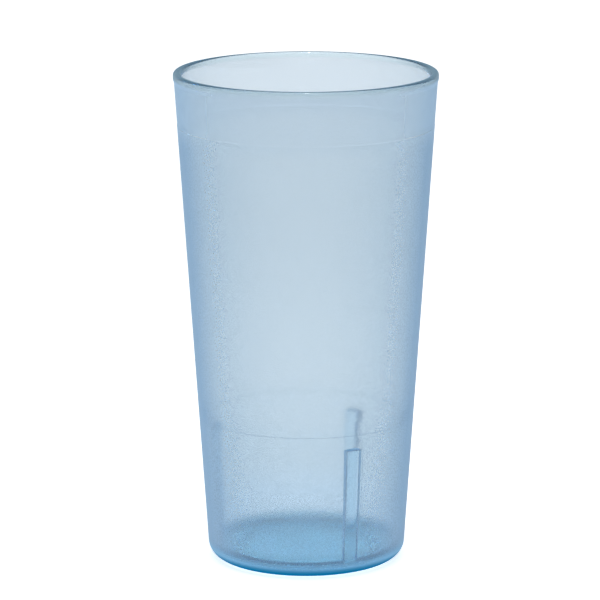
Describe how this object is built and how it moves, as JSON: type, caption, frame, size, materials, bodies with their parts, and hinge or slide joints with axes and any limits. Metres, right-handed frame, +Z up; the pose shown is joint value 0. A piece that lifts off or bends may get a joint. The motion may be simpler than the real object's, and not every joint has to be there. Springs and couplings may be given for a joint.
{
  "type": "plastic tumbler cup",
  "caption": "Tall tapered one-piece plastic drinking tumbler with a rolled lip, a grained outside, a rounded foot and upright stacking ribs inside.",
  "frame": {"origin": "centre of the foot, on the surface that the cup stands on", "axes": "+Z up out of the mouth, -Y towards the side that the picture shows, +X to the right of that view"},
  "size_m": [0.086, 0.086, 0.1615],
  "materials": {
    "clear_blue_plastic": "clear pale blue styrene-type plastic, fine pebbled grain outside below a smooth band at the lip, glossy inside"
  },
  "bodies": {
    "root": {"tumbler": "clear_blue_plastic"}
  },
  "joints": []
}
